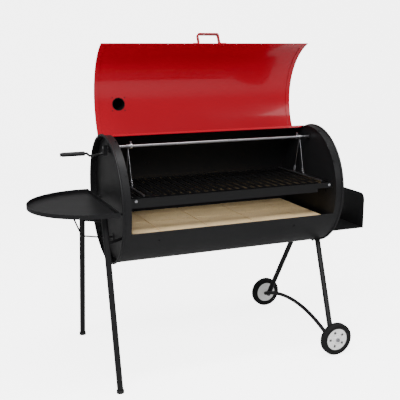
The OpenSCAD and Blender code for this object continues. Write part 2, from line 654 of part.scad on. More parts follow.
module tyre() rotate_extrude($fn = 96) difference() {
  union() {
    translate([hub_r, -wheel_w/2 + 3]) square([wheel_r - hub_r - 4, wheel_w - 6]);
    translate([hub_r, -wheel_w/2 + 6]) square([wheel_r - hub_r, wheel_w - 12]);
    translate([hub_r + 3, -wheel_w/2]) square([wheel_r - hub_r - 10, wheel_w]);
  }
  for (k = [-4, 4]) translate([wheel_r - 1.5, k - 1]) square([3, 2]);
}

module hub() difference() {
  union() {
    rotate_extrude($fn = 96) {
      translate([hub_r - 3, -wheel_w/2 + 4]) square([3, wheel_w - 8]);
      translate([axle_r + run_gap, -wheel_w/2 - 3]) square([8, wheel_w + 6]);
      translate([axle_r + run_gap, wheel_w/2 - 7]) square([hub_r - axle_r - 1, 3]);
      translate([axle_r + run_gap, 5 - wheel_w/2]) square([hub_r - axle_r - 1, 3]);
    }
    for (a = [0 : 72 : 288]) rotate(a) translate([axle_r + 6, -2, 6.5 - wheel_w/2]) cube([hub_r - axle_r - 8, 4, wheel_w - 12]);
  }
  for (a = [36 : 72 : 324]) rotate(a) translate([hub_r*0.66, 0, wheel_w/2]) cube([13, 11, 16], center = true);
}

module front_tyre() color("#171717") on_axis() at_wheel(-1) tyre();
module rear_tyre() color("#171717") on_axis() at_wheel(1) tyre();
module front_hub() color("#f1f1f0") on_axis() at_wheel(-1) hub();
module rear_hub() color("#f1f1f0") on_axis() at_wheel(1) hub();

module wheel_nuts() color("#c9c9cc") on_axis() for (s = [-1, 1]) at_wheel(s) difference() {
  union() {
    translate([0, 0, wheel_w/2 + 3.4]) cylinder(r = 10, h = 1.5, $fn = 48);
    translate([0, 0, wheel_w/2 + 4.9]) cylinder(r = 8, h = 4.5, $fn = 6);
  }
  translate([0, 0, 0]) cylinder(r = axle_r, h = 40, $fn = 32);
}

barrel_shell();
left_end_cap();
right_end_cap();
left_rim();
right_rim();
rear_strip();
strip_bolts();
lid_sheet();
lid_end_bands();
lid_front_band();
lid_handle();
handle_screws();
lid_rest_buttons();
chimney_flange();
chimney_pipe();
chimney_damper();
damper_pin();
hinge_barrel_leaves();
hinge_lid_leaves();
hinge_pins();
hinge_bolts();
lid_stays();
crank_shaft();
crank_hub();
crank_arm();
crank_grip();
shaft_bearings();
shaft_collars();
collar_screws();
left_lift_cables();
right_lift_cables();
lift_chains();
lifting_bars();
grate_bars();
grate_frame();
grease_trough();
trough_bolts();
grate_stops();
firebricks();
brick_pan();
shell_bolts();
side_tray();
tray_rods();
tray_brace();
side_shelf();
shelf_bolts();
front_left_leg();
rear_left_leg();
front_right_leg();
rear_right_leg();
left_leg_mounts();
leg_saddles();
foot_caps();
wheel_tie();
wheel_axles();
front_tyre();
rear_tyre();
front_hub();
rear_hub();
wheel_nuts();
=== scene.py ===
"""A barrel charcoal grill: finishes, detailed pieces and a studio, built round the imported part."""

import json
import math

import bmesh
import bpy
from mathutils import Matrix, Vector


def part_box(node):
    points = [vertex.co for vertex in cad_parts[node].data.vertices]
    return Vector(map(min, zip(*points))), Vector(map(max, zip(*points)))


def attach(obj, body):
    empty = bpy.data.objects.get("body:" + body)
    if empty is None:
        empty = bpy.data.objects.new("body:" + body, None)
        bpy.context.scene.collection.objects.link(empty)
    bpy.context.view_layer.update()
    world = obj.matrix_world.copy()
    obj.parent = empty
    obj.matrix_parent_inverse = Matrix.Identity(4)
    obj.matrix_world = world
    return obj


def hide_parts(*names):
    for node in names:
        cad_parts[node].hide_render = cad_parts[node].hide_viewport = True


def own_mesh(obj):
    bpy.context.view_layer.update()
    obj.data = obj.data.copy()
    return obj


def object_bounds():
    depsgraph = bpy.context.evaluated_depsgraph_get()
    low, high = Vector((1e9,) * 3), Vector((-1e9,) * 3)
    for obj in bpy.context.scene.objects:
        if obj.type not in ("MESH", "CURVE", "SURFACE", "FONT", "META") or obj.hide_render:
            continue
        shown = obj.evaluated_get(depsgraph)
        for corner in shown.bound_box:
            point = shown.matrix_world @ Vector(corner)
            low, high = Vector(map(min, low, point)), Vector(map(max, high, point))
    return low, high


bl_info = {
    "name": "Barrel Grill",
    "version": (1, 0, 0),
    "blender": (4, 5, 0),
    "location": "View3D > Sidebar > Grill",
    "description": "Finishes and details a barrel charcoal grill",
    "category": "Object",
}

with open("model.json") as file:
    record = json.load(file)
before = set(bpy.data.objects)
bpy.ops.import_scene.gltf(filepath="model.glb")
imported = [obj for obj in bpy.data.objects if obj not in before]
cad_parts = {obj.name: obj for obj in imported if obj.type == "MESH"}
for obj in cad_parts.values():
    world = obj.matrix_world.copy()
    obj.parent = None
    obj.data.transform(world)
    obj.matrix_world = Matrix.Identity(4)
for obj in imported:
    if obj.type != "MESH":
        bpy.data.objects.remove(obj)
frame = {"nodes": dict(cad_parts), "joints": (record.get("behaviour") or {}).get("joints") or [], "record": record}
CAD_LOW, CAD_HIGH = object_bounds()
JOINTS = {joint["name"]: joint for joint in frame["joints"]}

# Which finish each material slot of the record takes.
FINISHES = {
    "black_powder": "powder_black",
    "red_enamel": "enamel_red",
    "grate_enamel": "enamel_black",
    "zinc": "zinc_plate",
    "steel": "drawn_steel",
    "grip_plastic": "grip_moulding",
    "firebrick": "fired_clay",
    "foot_plastic": "foot_rubber",
    "tyre": "tyre_rubber",
    "hub_plastic": "hub_moulding",
}

# The mouth's front edge as the part has it: an angle above the horizontal, at the barrel's axis.
MOUTH_FRONT_ANGLE = math.radians(-21.5)
LEG_RADIUS = 0.0125

# Colours of dust, on paint and on mouldings.
PAINT_DUST = (0.16, 0.15, 0.14)
MOULDING_DUST = (0.34, 0.32, 0.29)


# ---- places worked out from the frame ----

def centre(node):
    """The middle of a CAD node's box."""
    low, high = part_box(node)
    return (low + high) / 2


def barrel_axis():
    """The barrel's axis: x of its middle, y and z."""
    return centre("barrel_shell").x, 0.0, centre("left_end_cap").z


def barrel_radius():
    """The outer radius of the barrel's shell."""
    low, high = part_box("barrel_shell")
    return (high.y - low.y) / 2


def lid_frame():
    """The open lid's centre of curvature and the angle of its handle above the horizontal."""
    x, _, z = barrel_axis()
    joint = JOINTS["lid_hinge"]
    hinge = Vector(joint["pos_m"])
    opened = Matrix.Rotation(math.radians(joint["range_deg"][0]), 3, "X")
    middle = hinge + opened @ Vector((x - hinge.x, -hinge.y, z - hinge.z))
    grip = centre("lid_handle") - middle
    return middle, math.atan2(grip.z, grip.y)


# ---- mesh helpers ----

def add_piece(name, mesh_data, body, slot, nodes=(), sharp=35):
    """Links a finished bmesh as a piece that rides on a body and may stand for CAD nodes."""
    mesh = bpy.data.meshes.new(name)
    bmesh.ops.recalc_face_normals(mesh_data, faces=mesh_data.faces)
    mesh_data.to_mesh(mesh)
    mesh_data.free()
    mesh.shade_smooth()
    mesh.set_sharp_from_angle(angle=math.radians(sharp))
    piece = bpy.data.objects.new(name, mesh)
    bpy.context.scene.collection.objects.link(piece)
    mesh.materials.append(bpy.data.materials[FINISHES[slot]])
    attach(piece, body)
    if nodes:
        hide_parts(*nodes)
    return piece


def bevel(piece, width, segments=2):
    """Rounds a piece's edges."""
    modifier = piece.modifiers.new("Rounded edges", "BEVEL")
    modifier.width = width
    modifier.segments = segments
    modifier.limit_method = "ANGLE"
    modifier.harden_normals = True


def bridge_rings(mesh_data, rings, closed_path=False):
    """Joins rings of vertices into a skin, and closes the ends of an open one."""
    count = len(rings[0])
    last = len(rings) if closed_path else len(rings) - 1
    for i in range(last):
        here, there = rings[i], rings[(i + 1) % len(rings)]
        for k in range(count):
            mesh_data.faces.new((here[k], here[(k + 1) % count], there[(k + 1) % count], there[k]))
    if not closed_path:
        mesh_data.faces.new(rings[0])
        mesh_data.faces.new(reversed(rings[-1]))


def sweep(mesh_data, points, section, up=Vector((1, 0, 0)), closed_path=False, size_at=None):
    """Sweeps a closed 2D section along points, its first axis square to up; size_at may scale it by step."""
    rings = []
    count = len(points)
    for i, point in enumerate(points):
        before = points[i - 1] if i or closed_path else point
        after = points[(i + 1) % count] if i < count - 1 or closed_path else point
        along = (after - before).normalized()
        side = along.cross(up).normalized()
        across = side.cross(along).normalized()
        size = size_at(i) if size_at else 1
        rings.append([mesh_data.verts.new(point + side * u * size + across * v * size) for u, v in section])
    bridge_rings(mesh_data, rings, closed_path)


def circle_section(radius, sides=12):
    """A round section for a sweep."""
    turns = [2 * math.pi * k / sides for k in range(sides)]
    return [(radius * math.cos(t), radius * math.sin(t)) for t in turns]


def lathe(mesh_data, origin, axis, profile, steps, radius_at=None):
    """Turns a closed profile of (radius, height) about an axis; radius_at may vary it by step."""
    turn = axis.to_track_quat("Z", "Y").to_matrix()
    rings = []
    for step in range(steps):
        angle = 2 * math.pi * step / steps
        ring = []
        for index, (radius, height) in enumerate(profile):
            r = radius_at(index, step, radius) if radius_at else radius
            spot = Vector((r * math.cos(angle), r * math.sin(angle), height))
            ring.append(mesh_data.verts.new(origin + turn @ spot))
        rings.append(ring)
    bridge_rings(mesh_data, rings, closed_path=True)


def add_box(mesh_data, low, high):
    """A box between two corners."""
    size = high - low
    place = Matrix.Translation((low + high) / 2) @ Matrix.Diagonal((*size, 1))
    bmesh.ops.create_cube(mesh_data, size=1, matrix=place)


def rounded_path(points, radius, steps=6):
    """Rounds the corners of a path of points."""
    path = [points[0]]
    for before, corner, after in zip(points, points[1:], points[2:]):
        start = corner + (before - corner).normalized() * radius
        end = corner + (after - corner).normalized() * radius
        for k in range(steps + 1):
            t = k / steps
            path.append(start * (1 - t) ** 2 + corner * 2 * t * (1 - t) + end * t ** 2)
    path.append(points[-1])
    return path


# ---- shader helpers ----

def new_group(name, inputs, outputs):
    """A node group with named sockets; returns its tree, input and output nodes."""
    tree = bpy.data.node_groups.new(name, "ShaderNodeTree")
    for label, kind, value in inputs:
        socket = tree.interface.new_socket(label, in_out="INPUT", socket_type=kind)
        socket.default_value = value
    for label, kind in outputs:
        tree.interface.new_socket(label, in_out="OUTPUT", socket_type=kind)
    return tree, tree.nodes.new("NodeGroupInput"), tree.nodes.new("NodeGroupOutput")


def noise_node(tree, scale, detail, stretch=(1, 1, 1)):
    """A noise texture in object space, with its coordinates stretched."""
    place = tree.nodes.new("ShaderNodeTexCoord")
    mapping = tree.nodes.new("ShaderNodeMapping")
    mapping.inputs["Scale"].default_value = stretch
    noise = tree.nodes.new("ShaderNodeTexNoise")
    noise.inputs["Scale"].default_value = scale
    noise.inputs["Detail"].default_value = detail
    tree.links.new(place.outputs["Object"], mapping.inputs["Vector"])
    tree.links.new(mapping.outputs["Vector"], noise.inputs["Vector"])
    return noise


def map_range(tree, source, span, onto=(0.0, 1.0)):
    """Maps one value from a span onto another, clamped."""
    node = tree.nodes.new("ShaderNodeMapRange")
    for label, value in zip(("From Min", "From Max", "To Min", "To Max"), (*span, *onto)):
        node.inputs[label].default_value = value
    tree.links.new(source, node.inputs["Value"])
    return node.outputs["Result"]


def combine(tree, operation, first, second):
    """A math node on two values, either of which may be a socket."""
    node = tree.nodes.new("ShaderNodeMath")
    node.operation = operation
    node.use_clamp = operation == "MULTIPLY"
    for socket, value in zip(node.inputs, (first, second)):
        if isinstance(value, (int, float)):
            socket.default_value = value
        else:
            tree.links.new(value, socket)
    return node.outputs[0]


def edge_wear_group():
    """Mask of worn edges: where the rounded normal leaves the true one, broken up by noise."""
    tree, entry, leave = new_group(
        "Edge Wear",
        [("Amount", "NodeSocketFloat", 0.5), ("Reach", "NodeSocketFloat", 0.003)],
        [("Mask", "NodeSocketFloat")],
    )
    rounded = tree.nodes.new("ShaderNodeBevel")
    rounded.samples = 4
    geometry = tree.nodes.new("ShaderNodeNewGeometry")
    dot = tree.nodes.new("ShaderNodeVectorMath")
    dot.operation = "DOT_PRODUCT"
    tree.links.new(entry.outputs["Reach"], rounded.inputs["Radius"])
    tree.links.new(rounded.outputs["Normal"], dot.inputs[0])
    tree.links.new(geometry.outputs["Normal"], dot.inputs[1])
    edge = map_range(tree, dot.outputs["Value"], (0.98, 0.82))
    broken = map_range(tree, noise_node(tree, 90, 6).outputs["Fac"], (0.45, 0.62))
    worn = combine(tree, "MULTIPLY", edge, broken)
    tree.links.new(combine(tree, "MULTIPLY", worn, entry.outputs["Amount"]), leave.inputs["Mask"])
    return tree


def dust_group():
    """Mask of dust that settles on faces that look up."""
    tree, entry, leave = new_group(
        "Settled Dust", [("Amount", "NodeSocketFloat", 0.2)], [("Mask", "NodeSocketFloat")]
    )
    geometry = tree.nodes.new("ShaderNodeNewGeometry")
    split = tree.nodes.new("ShaderNodeSeparateXYZ")
    tree.links.new(geometry.outputs["Normal"], split.inputs[0])
    upward = map_range(tree, split.outputs["Z"], (0.2, 1.0))
    patchy = map_range(tree, noise_node(tree, 14, 8).outputs["Fac"], (0.35, 0.7), (0.2, 1.0))
    settled = combine(tree, "MULTIPLY", upward, patchy)
    tree.links.new(combine(tree, "MULTIPLY", settled, entry.outputs["Amount"]), leave.inputs["Mask"])
    return tree


def coat_group():
    """Height and roughness of a sprayed coat: a fine peel over broad unevenness."""
    tree, entry, leave = new_group(
        "Sprayed Coat",
        [("Roughness", "NodeSocketFloat", 0.4), ("Variation", "NodeSocketFloat", 0.08)],
        [("Height", "NodeSocketFloat"), ("Roughness", "NodeSocketFloat")],
    )
    peel = noise_node(tree, 420, 2)
    broad = noise_node(tree, 7, 3)
    tree.links.new(combine(tree, "ADD", peel.outputs["Fac"], broad.outputs["Fac"]), leave.inputs["Height"])
    swing = combine(tree, "SUBTRACT", broad.outputs["Fac"], 0.5)
    scaled = tree.nodes.new("ShaderNodeMath")
    scaled.operation = "MULTIPLY_ADD"
    tree.links.new(swing, scaled.inputs[0])
    tree.links.new(entry.outputs["Variation"], scaled.inputs[1])
    tree.links.new(entry.outputs["Roughness"], scaled.inputs[2])
    tree.links.new(scaled.outputs[0], leave.inputs["Roughness"])
    return tree


def grain_group():
    """Fine lines drawn along X, and the speckle of a cast or fired surface."""
    tree, _, leave = new_group(
        "Surface Grain", [], [("Lines", "NodeSocketFloat"), ("Speckle", "NodeSocketFloat")]
    )
    lines = noise_node(tree, 300, 4, (0.04, 1, 1))
    speckle = noise_node(tree, 160, 10)
    tree.links.new(lines.outputs["Fac"], leave.inputs["Lines"])
    tree.links.new(speckle.outputs["Fac"], leave.inputs["Speckle"])
    return tree


def use_group(tree, name, **values):
    """Places a shared node group and sets its named inputs."""
    node = tree.nodes.new("ShaderNodeGroup")
    node.node_tree = bpy.data.node_groups[name]
    for label, value in values.items():
        node.inputs[label].default_value = value
    return node


def mix_colour(tree, mask, first, second):
    """Mixes two colours, either of which may be a socket, by a mask."""
    node = tree.nodes.new("ShaderNodeMix")
    node.data_type = "RGBA"
    tree.links.new(mask, node.inputs["Factor"])
    for label, value in ((6, first), (7, second)):
        if isinstance(value, tuple):
            node.inputs[label].default_value = (*value, 1)
        else:
            tree.links.new(value, node.inputs[label])
    return node.outputs[2]


def add_bump(tree, shader, height, strength, distance):
    """Bumps a shader's normal by a height."""
    bump = tree.nodes.new("ShaderNodeBump")
    bump.inputs["Strength"].default_value = strength
    bump.inputs["Distance"].default_value = distance
    tree.links.new(height, bump.inputs["Height"])
    tree.links.new(bump.outputs["Normal"], shader.inputs["Normal"])


def new_material(name, metallic=0.0, coat=0.0, coat_roughness=0.1, specular=0.5):
    """A material with one Principled shader; returns its tree and shader."""
    if name in bpy.data.materials:
        raise RuntimeError(f"a material is already called {name}")
    material = bpy.data.materials.new(name)
    material.use_nodes = True
    tree = material.node_tree
    shader = tree.nodes["Principled BSDF"]
    shader.inputs["Metallic"].default_value = metallic
    shader.inputs["Coat Weight"].default_value = coat
    shader.inputs["Coat Roughness"].default_value = coat_roughness
    shader.inputs["Specular IOR Level"].default_value = specular
    return tree, shader


def paint(name, settings, colour, under, roughness, peel, specular, coat=0.0):
    """A sprayed paint that wears to another colour at its edges and gathers a little dust."""
    tree, shader = new_material(name, coat=coat, coat_roughness=0.06, specular=specular)
    sprayed = use_group(tree, "Sprayed Coat", Roughness=roughness, Variation=0.12)
    wear = use_group(tree, "Edge Wear", Amount=settings.wear, Reach=0.0025)
    settled = use_group(tree, "Settled Dust", Amount=settings.dust)
    worn = mix_colour(tree, wear.outputs["Mask"], colour, under)
    dusty = mix_colour(tree, settled.outputs["Mask"], worn, PAINT_DUST)
    tree.links.new(dusty, shader.inputs["Base Color"])
    tree.links.new(sprayed.outputs["Roughness"], shader.inputs["Roughness"])
    add_bump(tree, shader, sprayed.outputs["Height"], strength=peel, distance=0.0006)


def metal(name, colour, shade, roughness):
    """A bare or plated metal with fine drawn lines."""
    tree, shader = new_material(name, metallic=1.0)
    grain = use_group(tree, "Surface Grain")
    tree.links.new(mix_colour(tree, grain.outputs["Lines"], colour, shade), shader.inputs["Base Color"])
    rough = map_range(tree, grain.outputs["Lines"], (0.3, 0.7), (roughness - 0.08, roughness + 0.1))
    tree.links.new(rough, shader.inputs["Roughness"])
    add_bump(tree, shader, grain.outputs["Lines"], strength=0.12, distance=0.0003)


def moulded(name, settings, colour, shade, roughness, bump):
    """A moulded plastic or rubber with a speckled surface and dust."""
    tree, shader = new_material(name, specular=0.25)
    grain = use_group(tree, "Surface Grain")
    settled = use_group(tree, "Settled Dust", Amount=settings.dust)
    mixed = mix_colour(tree, grain.outputs["Speckle"], colour, shade)
    dusty = mix_colour(tree, settled.outputs["Mask"], mixed, MOULDING_DUST)
    tree.links.new(dusty, shader.inputs["Base Color"])
    rough = map_range(tree, grain.outputs["Speckle"], (0.3, 0.7), (roughness - 0.06, roughness + 0.08))
    tree.links.new(rough, shader.inputs["Roughness"])
    add_bump(tree, shader, grain.outputs["Speckle"], strength=bump, distance=0.0006)


def fired_clay(settings):
    """Firebrick: sandy clay with dark and pale specks and open pores."""
    sand, dark_speck, pale_speck = (0.84, 0.60, 0.30), (0.20, 0.12, 0.07), (0.86, 0.78, 0.64)
    tree, shader = new_material("fired_clay")
    grain = use_group(tree, "Surface Grain")
    broad = noise_node(tree, 9, 4)
    base = mix_colour(tree, broad.outputs["Fac"], settings.brick_colour[:], sand)
    dark = map_range(tree, grain.outputs["Speckle"], (0.60, 0.72), (0.0, 0.55))
    pale = map_range(tree, grain.outputs["Speckle"], (0.40, 0.30), (0.0, 0.5))
    specked = mix_colour(tree, dark, base, dark_speck)
    tree.links.new(mix_colour(tree, pale, specked, pale_speck), shader.inputs["Base Color"])
    tree.links.new(map_range(tree, broad.outputs["Fac"], (0.3, 0.7), (0.82, 0.95)), shader.inputs["Roughness"])
    add_bump(tree, shader, grain.outputs["Speckle"], strength=0.5, distance=0.001)


def studio_paper():
    """Pale paper that glows for the camera and looks darker in reflections."""
    glow_strength, reflected_tone = 4.5, 0.36
    tree, shader = new_material("studio_paper")
    tone = noise_node(tree, 2.0, 2)
    pale = mix_colour(tree, tone.outputs["Fac"], (0.93, 0.93, 0.93), (0.95, 0.95, 0.95))
    shader.inputs["Roughness"].default_value = 0.9
    path = tree.nodes.new("ShaderNodeLightPath")
    glow = map_range(tree, path.outputs["Is Camera Ray"], (0, 1), (0.0, glow_strength))
    dimmed = mix_colour(tree, path.outputs["Is Glossy Ray"], pale, (reflected_tone,) * 3)
    tree.links.new(dimmed, shader.inputs["Base Color"])
    shader.inputs["Emission Color"].default_value = (1, 1, 1, 1)
    tree.links.new(glow, shader.inputs["Emission Strength"])


# ---- settings ----

class GrillFinish(bpy.types.PropertyGroup):
    """Looks of the grill's surfaces."""

    wear: bpy.props.FloatProperty(
        name="Edge Wear", description="Share of the paint worn off at edges",
        default=0.25, min=0, max=1, subtype="FACTOR",
    )
    dust: bpy.props.FloatProperty(
        name="Dust", description="Dust on faces that look up",
        default=0.015, min=0, max=1, subtype="FACTOR",
    )
    brick_colour: bpy.props.FloatVectorProperty(
        name="Brick Colour", description="Colour of the firebricks",
        default=(1.0, 0.74, 0.40), size=3, subtype="COLOR",
    )
    lid_colour: bpy.props.FloatVectorProperty(
        name="Lid Colour", description="Colour of the lid's enamel",
        default=(0.36, 0.0, 0.010), size=3, subtype="COLOR",
    )


class GrillPieces(bpy.types.PropertyGroup):
    """Sizes of the detailed pieces."""

    tread_blocks: bpy.props.IntProperty(
        name="Tread Blocks", description="Blocks round each tyre",
        default=40, min=16, max=80,
    )
    brick_pitch: bpy.props.FloatProperty(
        name="Brick Pitch", description="Distance between brick joints",
        default=0.215, min=0.1, max=0.3, unit="LENGTH",
    )
    brick_joint: bpy.props.FloatProperty(
        name="Brick Joint", description="Gap between bricks",
        default=0.0034, min=0.0005, max=0.006, unit="LENGTH",
    )
    cable_lay: bpy.props.FloatProperty(
        name="Cable Lay", description="Length of one twist of a cable",
        default=0.014, min=0.005, max=0.05, unit="LENGTH",
    )
    strap_width: bpy.props.FloatProperty(
        name="Strap Width", description="Width of the handle's strap",
        default=0.022, min=0.01, max=0.04, unit="LENGTH",
    )
    strap_thickness: bpy.props.FloatProperty(
        name="Strap Thickness", description="Thickness of the handle's strap",
        default=0.004, min=0.002, max=0.008, unit="LENGTH",
    )


class GrillStage(bpy.types.PropertyGroup):
    """The camera and the studio round the grill."""

    camera_place: bpy.props.FloatVectorProperty(
        name="Camera Place", description="Where the camera stands",
        default=(-1.164, -3.024, 1.361), size=3, subtype="XYZ", unit="LENGTH",
    )
    camera_yaw: bpy.props.FloatProperty(
        name="Camera Yaw", description="Turn of the camera to its right",
        default=math.radians(24.075), subtype="ANGLE",
    )
    camera_pitch: bpy.props.FloatProperty(
        name="Camera Pitch", description="Tilt of the camera below the horizon",
        default=math.radians(15.628), subtype="ANGLE",
    )
    lens: bpy.props.FloatProperty(
        name="Lens", description="Focal length on a 36 mm sensor, in millimetres",
        default=66.35, min=20, max=200,
    )
    shift: bpy.props.FloatVectorProperty(
        name="Shift", description="Shift of the lens that frames the grill",
        default=(-0.095, 0.126), size=2,
    )


# ---- operators ----

class GRILL_OT_finishes(bpy.types.Operator):
    """Makes the finishes and gives each CAD node the one for its material slot"""

    bl_idname = "grill.finishes"
    bl_label = "Make Finishes"

    def execute(self, context):
        settings = context.scene.grill_finish
        for build in (edge_wear_group, dust_group, coat_group, grain_group):
            build()
        paint(
            "powder_black", settings, colour=(0.0090, 0.0090, 0.0097), under=(0.05, 0.05, 0.055),
            roughness=0.44, peel=0.25, specular=0.22,
        )
        paint(
            "enamel_red", settings, colour=tuple(settings.lid_colour), under=(0.08, 0.005, 0.005),
            roughness=0.20, peel=0.05, specular=0.30, coat=0.45,
        )
        paint(
            "enamel_black", settings, colour=(0.004, 0.004, 0.0044), under=(0.04, 0.04, 0.04),
            roughness=0.30, peel=0.2, specular=0.4, coat=0.10,
        )
        metal("zinc_plate", colour=(0.74, 0.74, 0.76), shade=(0.56, 0.57, 0.60), roughness=0.26)
        metal("drawn_steel", colour=(0.46, 0.46, 0.48), shade=(0.30, 0.30, 0.32), roughness=0.34)
        for name, colour, shade, roughness, bump in (
            ("grip_moulding", (0.012, 0.012, 0.013), (0.020, 0.020, 0.021), 0.48, 0.3),
            ("foot_rubber", (0.012, 0.012, 0.012), (0.022, 0.022, 0.022), 0.6, 0.3),
            ("tyre_rubber", (0.004, 0.004, 0.004), (0.009, 0.009, 0.009), 0.72, 0.4),
            ("hub_moulding", (0.82, 0.82, 0.81), (0.76, 0.76, 0.75), 0.34, 0.1),
        ):
            moulded(name, settings, colour, shade, roughness, bump)
        fired_clay(settings)
        for row in frame["record"]["subparts"]:
            materials = frame["nodes"][row["node"]].data.materials
            finish = bpy.data.materials[FINISHES[row["material_slot"]]]
            if not materials:
                raise RuntimeError(f"{row['node']} has no material slot to fill")
            for index in range(len(materials)):
                materials[index] = finish
        return {"FINISHED"}


class GRILL_OT_firebricks(bpy.types.Operator):
    """Lays the firebricks, each rounded at its edges and at its own height"""

    bl_idname = "grill.firebricks"
    bl_label = "Lay Firebricks"

    def execute(self, context):
        settings = context.scene.grill_pieces
        low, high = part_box("firebricks")
        middle = (low + high) / 2
        inner = [middle.x + settings.brick_pitch * k for k in (-1.5, -0.5, 0.5, 1.5)]
        edges = [low.x, *inner, high.x]
        gap = settings.brick_joint / 2
        unevenness = 0.0004
        bricks = bmesh.new()
        for west, east in zip(edges, edges[1:]):
            for south, north in ((low.y, middle.y), (middle.y, high.y)):
                sink = unevenness * math.sin(37 * west + 53 * south)
                add_box(
                    bricks,
                    Vector((west + gap, south + gap, low.z)),
                    Vector((east - gap, north - gap, high.z + sink)),
                )
        piece = add_piece("firebrick_bed", bricks, "barrel", "firebrick", ["firebricks"])
        bevel(piece, width=0.0022, segments=3)
        return {"FINISHED"}


class GRILL_OT_wheels(bpy.types.Operator):
    """Makes the treaded tyres and the hubs' stepped collars"""

    bl_idname = "grill.wheels"
    bl_label = "Make Wheels"

    def execute(self, context):
        blocks = context.scene.grill_pieces.tread_blocks
        for side, sign in (("front", -1), ("rear", 1)):
            low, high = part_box(f"{side}_tyre")
            hub_low, hub_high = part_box(f"{side}_hub")
            origin = (low + high) / 2
            outer = (high.z - low.z) / 2
            inner = (hub_high.z - hub_low.z) / 2
            half = (high.y - low.y) / 2
            self.make_tyre(side, origin, outer, inner, half, blocks)
            self.make_collar(side, origin, sign)
        return {"FINISHED"}

    def make_tyre(self, side, origin, outer, inner, half, blocks):
        """A tyre with rounded walls, a sidewall ring and cross-cut tread."""
        # Radius and place across the tyre, from the hub out over the wall to the tread's middle.
        wall = [(inner, -half * 0.72), (inner + 0.003, -half * 0.98), (inner + 0.007, -half)]
        wall += [(inner + 0.009, -half * 0.94), (outer - 0.009, -half), (outer - 0.0035, -half * 0.86)]
        tread = [(outer, -half * 0.66), (outer, -half * 0.22), (outer - 0.002, -half * 0.18)]
        half_profile = wall + tread
        profile = half_profile + [(r, -y) for r, y in reversed(half_profile)]
        crown_depth, cut_depth, steps_per_block = 0.001, 0.0022, 6
        crown = {index for index, (r, _) in enumerate(profile) if r > outer - crown_depth}

        def radius_at(index, step, radius):
            return radius - cut_depth if index in crown and step % steps_per_block == 0 else radius

        tyre = bmesh.new()
        lathe(tyre, origin, Vector((0, 1, 0)), profile, blocks * steps_per_block, radius_at)
        add_piece(f"{side}_tyre_treaded", tyre, f"{side}_wheel", "tyre", [f"{side}_tyre"], 28)

    def make_collar(self, side, origin, sign):
        """A stepped ring round the axle on the hub's outer face."""
        low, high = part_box(f"{side}_hub")
        face = (high.y if sign > 0 else -low.y) - abs(origin.y)
        # Radius and depth below the hub's outer face, from the bore out to the rim and back.
        steps = [(0.0115, 0.004), (0.0190, 0.012), (0.0205, 0.010), (0.0200, 0.006)]
        steps += [(0.0165, 0.0035), (0.0150, 0.001), (0.0125, 0.0005)]
        profile = [(radius, face - depth) for radius, depth in steps]
        collar = bmesh.new()
        lathe(collar, origin, Vector((0, sign, 0)), profile, 48)
        add_piece(f"{side}_hub_collar", collar, f"{side}_wheel", "hub_plastic")


class GRILL_OT_cables(bpy.types.Operator):
    """Lays up the stranded lifting cables, which keep their length here; on the grill they shorten as the grate
    rises
    """

    bl_idname = "grill.cables"
    bl_label = "Make Cables"

    def execute(self, context):
        lay = context.scene.grill_pieces.cable_lay
        from_shaft = 0.003
        for side in ("left", "right"):
            low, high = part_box(f"{side}_lift_cables")
            x = (low.x + high.x) / 2
            radius = (high.x - low.x) / 2
            strands = bmesh.new()
            for sign in (-1, 1):
                top = Vector((x, sign * from_shaft, high.z))
                foot = Vector((x, sign * (high.y - radius), low.z))
                self.twist(strands, top, foot, radius, lay)
            replaced = [f"{side}_lift_cables"]
            piece = add_piece(f"{side}_stranded_cables", strands, "barrel", "steel", replaced, sharp=60)
            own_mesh(piece)
        return {"FINISHED"}

    def twist(self, strands, top, foot, radius, lay):
        """Three strands twisted round the line between two points."""
        along = foot - top
        steps = 48
        side = along.cross(Vector((1, 0, 0))).normalized()
        across = along.cross(side).normalized()
        wire = radius * 0.5
        for strand in range(3):
            points = []
            for k in range(steps + 1):
                t = k / steps
                turn = 2 * math.pi * (t * along.length / lay + strand / 3)
                offset = side * math.cos(turn) + across * math.sin(turn)
                points.append(top + along * t + offset * wire)
            sweep(strands, points, circle_section(wire, 6))


